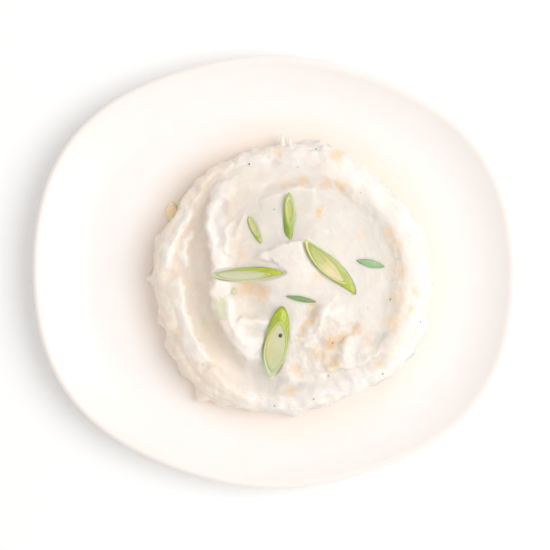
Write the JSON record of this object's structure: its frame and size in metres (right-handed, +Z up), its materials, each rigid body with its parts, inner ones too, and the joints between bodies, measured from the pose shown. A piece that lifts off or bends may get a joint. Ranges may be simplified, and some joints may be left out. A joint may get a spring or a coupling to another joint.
{
  "type": "mashed potato side on a plate",
  "caption": "Mound of mashed potato, swirled with a spoon and topped with sliced spring onion, served on a shallow egg-shaped plate.",
  "frame": {"origin": "middle of the plate's outline, on the plane of the table that its foot ring stands on", "axes": "+X along the plate's longest extent, towards its right side as served, +Y towards its back, +Z up"},
  "size_m": [0.204, 0.1826, 0.035],
  "materials": {
    "glazed_stoneware": "cream glaze",
    "mashed_potato": "soft and moist, satin",
    "spring_onion": "fresh cut, satin",
    "spring_onion_leaf": "waxy leaf"
  },
  "bodies": {
    "root": {"plate": "glazed_stoneware", "mash": "mashed_potato", "spring_onion_1": "spring_onion", "spring_onion_2": "spring_onion", "spring_onion_3": "spring_onion", "spring_onion_4": "spring_onion", "spring_onion_5": "spring_onion_leaf", "spring_onion_6": "spring_onion_leaf", "spring_onion_7": "spring_onion"}
  },
  "joints": []
}
